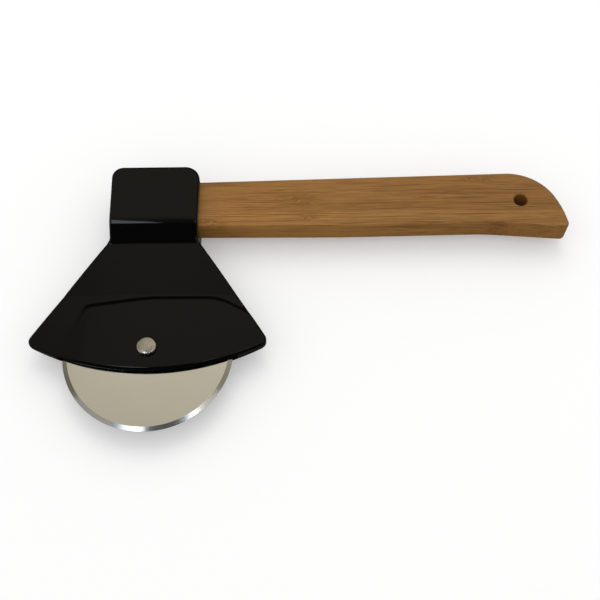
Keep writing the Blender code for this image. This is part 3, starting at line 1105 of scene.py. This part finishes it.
    def cutters(self) -> list[Piece]:
        """The wheel's slot, round over the wheel and open at the lip, and the axle's bore."""
        radius = self.slot_radius
        over = arc(AXLE, radius, 0, pi, self.slot_steps)
        outline = [Vector((radius, self.foot)), *over, Vector((-radius, self.foot))]
        slot = prism("slot", outline, MIDDLE - self.slot_half, MIDDLE + self.slot_half)
        bore = ring(AXLE, BORE_RADIUS, self.bore_sides)
        return [slot, prism("bore", bore, -self.eye_half, 3 * self.eye_half)]

    def build(self, handle: Handle) -> Piece:
        """Makes the head, with a socket for the handle."""
        border = Border(resampled(self.outline(), self.pitch))
        slab = Slab("moulded_head", border, self.edge, self.half_thickness, self.marks())
        piece = slab.finish(self.finish.make(), [*self.cutters(), handle.socket()])
        return ready(piece, Body.TOOL, Node.HEAD)


@dataclass
class Handle:
    """The bamboo handle, with its rounded edges and the hole that it hangs by."""

    finish: LaminatedBamboo
    thickness: float = 0.0125
    inner_end: float = -0.0171
    reach: float = 0.2056
    top: float = 0.0092
    top_rise: float = radians(1.305)
    bottom: float = 0.0161
    belly: float = 0.0009
    belly_place: float = 0.09295
    knob_length: float = 0.041
    knob_drop: float = 0.0034
    butt_place: float = 0.1935
    butt_radius: float = 0.0258
    side_place: float = 0.2033
    side_drop: float = 0.0083
    side_radius: float = 0.05
    knob_radius: float = 0.0026
    bend_radius: float = 0.15
    edge: float = 0.0011
    hole_diameter: float = 0.0069
    hole_chamfer: float = 0.0004
    hole_inset: float = 0.0231
    hole_drop: float = 0.0032
    hole_sides: int = 64
    pitch: float = 0.0008
    border_pitch: float = 0.0016
    socket_pitch: float = 0.0032
    face_pitch: float = 0.003

    def outline(self) -> list[Vector]:
        """The handle seen from the front, anticlockwise."""
        rise = tan(self.top_rise)
        corners = [
            (self.inner_end, -self.bottom, 0),
            (self.inner_end, self.top + rise * self.inner_end, 0),
            (self.butt_place, self.top + rise * self.butt_place, self.butt_radius),
            (self.side_place, -self.side_drop, self.side_radius),
            (self.reach, -self.bottom - self.knob_drop, self.knob_radius),
            (self.reach - self.knob_length, -self.bottom, self.bend_radius),
            (self.belly_place, -self.bottom - self.belly, 0),
        ]
        return rounded(corners, self.pitch)[::-1]

    def slab(self, name: str, border: Border, marks: Points, gap: float = 0.0) -> Slab:
        """A flat bar of the handle's thickness, with a gap added on each face."""
        half = self.thickness / 2 + gap
        return Slab(name, border, self.edge, lambda x, y: np.full(np.shape(x), half), marks)

    def socket(self) -> Piece:
        """The handle's room in the head, to be cut out."""
        border = Border(resampled(self.outline(), self.socket_pitch))
        room = Border(border.inset(-FIT_GAP))
        return self.slab("socket", room, np.empty((0, 2)), FIT_GAP).build()

    def hole(self) -> Piece:
        """The hole to be cut through the butt, with its chamfers."""
        centre = Vector((self.reach - self.hole_inset, -self.hole_drop))
        narrow = self.hole_diameter / 2
        wide = narrow + 2 * self.hole_chamfer
        inner = self.thickness / 2 - self.hole_chamfer
        outer = inner + 2 * self.hole_chamfer
        rings = []
        for radius, height in ((wide, -outer), (narrow, -inner), (narrow, inner), (wide, outer)):
            spots = ring(centre, radius, self.hole_sides)
            rings.append([(*spot, MIDDLE + height) for spot in spots])
        return stack("hang_hole", rings)

    def build(self) -> Piece:
        """Makes the handle."""
        border = Border(resampled(self.outline(), self.border_pitch))
        along = np.arange(self.inner_end, self.reach, self.face_pitch)
        across = np.arange(-self.bottom - self.knob_drop, self.top * 2, self.face_pitch)
        marks = np.array([(x, y) for x in along for y in across])
        slab = self.slab("bamboo_handle", border, marks)
        return ready(slab.finish(self.finish.make(), [self.hole()]), Body.TOOL, Node.HANDLE)


@dataclass
class CuttingWheel:
    """The steel wheel, ground to an edge from both faces."""

    finish: GroundSteel
    thickness: float = 0.0012
    edge: float = 0.00016
    sides: int = 240
    crease: float = radians(6)

    def build(self, lathe: TurningTree) -> Piece:
        """Makes the wheel on the lathe's tree."""
        half = self.thickness / 2
        land = WHEEL_RADIUS - WHEEL_BEVEL
        upper = [(BORE_RADIUS, half), (land, half), (WHEEL_RADIUS, self.edge / 2)]
        lower = [(radius, -height) for radius, height in reversed(upper)]
        profile = [*upper, *lower, upper[0]]
        piece = lathe.turn("steel_wheel", profile, self.sides, self.crease, self.finish.make())
        return ready(piece, Body.WHEEL, Node.WHEEL)


@dataclass
class Axle:
    """The riveted axle: a domed pin pressed into a domed barrel."""

    finish: RivetSteel
    seat: float = 0.0041 + FIT_GAP
    dome_radius: float = 0.00465
    dome_height: float = 0.0018
    dome_spread: float = radians(10)
    dome_steps: int = 24
    rim_round: float = 0.0009
    rim_steps: int = 12
    seat_chamfer: float = 0.00015
    pin_radius: float = 0.0014
    barrel_radius: float = 0.0025
    end_gap: float = 0.0012
    sides: int = 72
    crease: float = radians(50)

    def dome(self) -> list[tuple[float, float]]:
        """Points down a domed head, from its crown to its rim, over its seat."""
        spread, inner = self.dome_spread, self.dome_radius - self.rim_round
        ball = inner / sin(spread) + self.rim_round
        level = self.dome_height - self.rim_round - (ball - self.rim_round) * (1 - cos(spread))
        points = []
        for step in range(self.dome_steps):
            angle = spread * step / self.dome_steps
            points.append((ball * sin(angle), self.dome_height - ball * (1 - cos(angle))))
        for step in range(self.rim_steps + 1):
            angle = spread + (pi / 2 - spread) * step / self.rim_steps
            height = level + self.rim_round * cos(angle)
            points.append((inner + self.rim_round * sin(angle), height))
        points.append((self.dome_radius, self.seat_chamfer))
        points.append((self.dome_radius - self.seat_chamfer, 0.0))
        return points

    def build(self, lathe: TurningTree) -> list[Piece]:
        """Makes both halves of the axle on the lathe's tree."""
        material = self.finish.make()
        pin_end = -self.seat + self.end_gap
        pin = [(radius, self.seat + height) for radius, height in self.dome()]
        pin += [(self.pin_radius, self.seat), (self.pin_radius, pin_end), (0.0, pin_end)]
        bore = self.pin_radius + FIT_GAP
        floor = pin_end - FIT_GAP
        top = self.seat - FIT_GAP
        barrel = [(0.0, floor), (bore, floor), (bore, top), (self.barrel_radius, top)]
        barrel += [(self.barrel_radius, -self.seat)]
        barrel += [(radius, -self.seat - height) for radius, height in reversed(self.dome())]
        made = []
        for name, profile, node in (
            ("rivet_pin", pin, Node.PIN),
            ("rivet_barrel", barrel, Node.BARREL),
        ):
            piece = lathe.turn(name, profile, self.sides, self.crease, material)
            made.append(ready(piece, Body.TOOL, node))
        return made


@dataclass
class Washers:
    """The two nylon washers beside the wheel, which keep the model's own shape."""

    finish: TurnedNylon

    def dress(self, nodes: dict) -> list[Piece]:
        """Gives the washers their finish."""
        material = self.finish.make()
        found = [nodes[node.value] for node in (Node.FRONT_WASHER, Node.REAR_WASHER)]
        for washer in found:
            for slot in washer.material_slots:
                slot.material = material
        return found


# Studio


def level_corners(start: Span, end: Span, depth: Span, height: float) -> list[tuple]:
    """Places a level four-sided card.

    Args:
        start: x of its left side, at the near and at the far end.
        end: the same of its right side.
        depth: y of its near and far ends.
        height: how high it lies.

    Returns:
        Its corners in order.
    """
    near, far = depth
    flat = ((start[0], near), (end[0], near), (end[1], far), (start[1], far))
    return [(x, y, height) for x, y in flat]


@dataclass(frozen=True)
class Card:
    """A card that shows only in glossy surfaces.

    Args:
        near: where along y it starts to fade, where the fade ends, and what is left there.
        left: the same along x.
    """

    name: str
    corners: Sequence[tuple]
    colour: Colour
    near: Fade = (0.0, -1.0, 1.0)
    left: Fade = (0.0, -1.0, 1.0)

    def build(self) -> None:
        """Makes the card."""
        card = mesh_object(self.name, np.array(self.corners, float), [(0, 1, 2, 3)])
        skin = Surface(self.name)
        own = skin.parts(skin.spots())
        near = skin.span(own["Y"], self.near[1], self.near[0], self.near[2], 1.0)
        left = skin.span(own["X"], self.left[1], self.left[0], self.left[2], 1.0)
        skin.set(Base_Color=(0.0, 0.0, 0.0), Specular_IOR_Level=0.0, Roughness=1.0)
        skin.set(Emission_Color=self.colour, Emission_Strength=skin.times(near, left))
        card.data.materials.append(skin.material)
        card.visible_camera = False
        card.visible_diffuse = False
        card.visible_shadow = False
        card.visible_transmission = False


@dataclass
class Studio:
    """A pale floor, a soft lamp, a pale surround, and the cards that the gloss shows."""

    floor_colour: Colour = (0.8, 0.8, 0.8)
    floor_size: float = 6.0
    floor_drop: float = 0.0004
    floor_roughness: float = 0.9
    glow: float = 0.25
    surround: float = 0.8
    lamp_place: tuple = (0.1, 0.75, 1.45)
    lamp_aim: tuple = (0.06, -0.03, 0)
    lamp_size: float = 1.1
    lamp_power: float = 5
    lamp_colour: Colour = (1.0, 0.99, 0.97)
    warm: Colour = (0.68, 0.64, 0.53)
    paler: Colour = (0.48, 0.45, 0.37)
    grey: Colour = (0.67, 0.66, 0.62)
    light_grey: Colour = (1.05, 1.0, 0.9)
    cool: Colour = (4.4, 5.0, 5.7)
    dark: Colour = (0.03, 0.03, 0.03)
    dim: Colour = (0.25, 0.25, 0.25)
    table: Colour = (0.1, 0.1, 0.1)
    height: float = 1.1
    near: float = -0.44
    far: float = 0.05
    warm_left: float = -0.55
    warm_far: float = 0.85
    strip_left: float = -0.42
    gap_left: Span = (-0.16, -0.22)
    gap_right: Span = (0.06, 0.26)
    strip_right: Span = (0.14, 0.29)
    reach: float = 1.6
    near_fade: Fade = (0.5, 0.0, 0.6)
    far_fade: Fade = (0.85, 1.5, 0.2)
    warm_fade: Fade = (-0.2, -0.55, 0.7)
    side_fade: Fade = (-0.55, -1.3, 0.66)
    strip_fade: Fade = (-0.24, -0.42, 0.08)
    gap_fade: Fade = (0.1, -0.3, 0.5)

    def build(self) -> None:
        """Makes the floor, the lamp, the cards and the surround."""
        self.floor()
        self.lamp()
        for card in (*self.level_cards(), *self.walls()):
            card.build()
        self.world()

    def level_cards(self) -> list[Card]:
        """The level cards.

        Warm ones lie past the tool. Over it are two cool strips, with a dim gap between them and
        grey cards beside them. A dark one lies on the cutting side, and one over the floor.
        """
        left, right, strip = (-self.reach,) * 2, (self.reach,) * 2, (self.strip_left,) * 2
        edge, first, last = (self.warm_left,) * 2, self.gap_left, self.gap_right
        past, beyond = (self.far, self.warm_far), (self.warm_far, self.reach)
        over, before = (self.near, self.far), (-self.reach, self.near)
        warm = ({"near": self.near_fade, "left": self.warm_fade}, past)
        warm_end = ({"near": self.far_fade, "left": self.warm_fade}, beyond)
        pale = ({"near": self.near_fade, "left": self.side_fade}, past)
        pale_end = ({"near": self.far_fade, "left": self.side_fade}, beyond)
        cards = []
        for name, colour, start, end, (fades, depth) in (
            ("warm_card", self.warm, edge, right, warm),
            ("warm_end", self.warm, edge, right, warm_end),
            ("pale_card", self.paler, left, edge, pale),
            ("pale_end", self.paler, left, edge, pale_end),
            ("left_side", self.grey, left, strip, ({}, over)),
            ("left_strip", self.cool, strip, first, ({"left": self.strip_fade}, over)),
            ("gap_card", self.dim, first, last, ({"near": self.gap_fade}, over)),
            ("right_strip", self.cool, last, self.strip_right, ({}, over)),
            ("right_side", self.light_grey, self.strip_right, right, ({}, over)),
            ("dark_card", self.dark, left, right, ({}, before)),
        ):
            corners = level_corners(start, end, depth, self.height)
            cards.append(Card(name, corners, colour, **fades))
        table = level_corners(left, right, (-self.reach, self.reach), -self.floor_drop / 2)
        return [*cards, Card("dim_table", table, self.table)]

    def walls(self) -> list[Card]:
        """The upright cards round the tool."""
        reach, cards = self.reach, []
        for name, colour, (x, y), (to_x, to_y) in (
            ("dark_front", self.dark, (-reach, -reach), (reach, -reach)),
            ("dark_back", self.dark, (-reach, reach), (reach, reach)),
            ("dim_left", self.grey, (-reach, -reach), (-reach, reach)),
            ("dim_right", self.dim, (reach, -reach), (reach, reach)),
        ):
            corners = ((x, y, 0), (to_x, to_y, 0), (to_x, to_y, self.height), (x, y, self.height))
            cards.append(Card(name, corners, colour))
        return cards

    def floor(self) -> None:
        """A wide floor that shows white where no shadow falls."""
        half = self.floor_size / 2
        corners = level_corners((-half, -half), (half, half), (-half, half), -self.floor_drop)
        piece = mesh_object("floor", np.array(corners), [(0, 1, 2, 3)])
        skin = Surface("pale floor")
        skin.set(Base_Color=self.floor_colour, Roughness=self.floor_roughness)
        skin.set(Specular_IOR_Level=0.0, Emission_Color=(1.0, 1.0, 1.0))
        skin.set(Emission_Strength=skin.times(skin.seen(), self.glow))
        piece.data.materials.append(skin.material)

    def lamp(self) -> None:
        """A square soft lamp that points at the tool and doesn't show in its gloss."""
        data = bpy.data.lights.new("overhead", "AREA")
        data.shape = "SQUARE"
        data.size = self.lamp_size
        data.energy = self.lamp_power
        data.color = self.lamp_colour
        lamp = bpy.data.objects.new("overhead", data)
        lamp.location = self.lamp_place
        aim = Vector(self.lamp_aim) - Vector(self.lamp_place)
        lamp.rotation_euler = aim.to_track_quat("-Z", "Y").to_euler()
        lamp.visible_glossy = False
        bpy.context.scene.collection.objects.link(lamp)

    def world(self) -> None:
        """A surround that is white where it is seen and softer where it lights."""
        world = bpy.data.worlds.new("studio")
        bpy.context.scene.world = world
        world.use_nodes = True
        wiring = Wiring(world.node_tree)
        shader = wiring.tree.nodes["Background"].inputs
        feeds = {0: wiring.seen(), 3: self.surround, 4: 1.0}
        wiring.feed(shader["Strength"], wiring.node("ShaderNodeMapRange", feeds).outputs[0])
        wiring.feed(shader["Color"], (1.0, 1.0, 1.0))


@dataclass(frozen=True)
class PhotoCamera:
    """The camera at the photograph's place."""

    place: tuple = (0.07088, -0.26699, 0.4167)
    tilt: tuple = (radians(27.61), radians(0.235), radians(-0.594))
    lens: float = 57.0
    sensor: float = 36.0
    clip: Span = (0.01, 20.0)

    def build(self) -> None:
        """Makes the camera and takes it into use."""
        data = bpy.data.cameras.new("photo_camera")
        data.lens = self.lens
        data.sensor_width = self.sensor
        data.clip_start, data.clip_end = self.clip
        camera = bpy.data.objects.new("photo_camera", data)
        camera.location = self.place
        camera.rotation_euler = Euler(self.tilt)
        bpy.context.scene.collection.objects.link(camera)
        bpy.context.scene.camera = camera


def main() -> None:
    """Loads the model and builds every piece round it."""
    logging.basicConfig(level=logging.INFO, format="%(message)s")
    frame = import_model()
    handle = Handle(LaminatedBamboo())
    lathe = TurningTree()
    pieces = [AxeHead(MouldedPlastic()).build(handle), handle.build()]
    pieces.append(CuttingWheel(GroundSteel()).build(lathe))
    pieces += Axle(RivetSteel()).build(lathe)
    pieces += Washers(TurnedNylon()).dress(frame["nodes"])
    for piece in pieces:
        log.info("%s: %d faces", piece.name, len(piece.data.polygons))
    Studio().build()
    PhotoCamera().build()
    bpy.context.scene.view_settings.view_transform = "Standard"


if __name__ == "__main__":
    main()
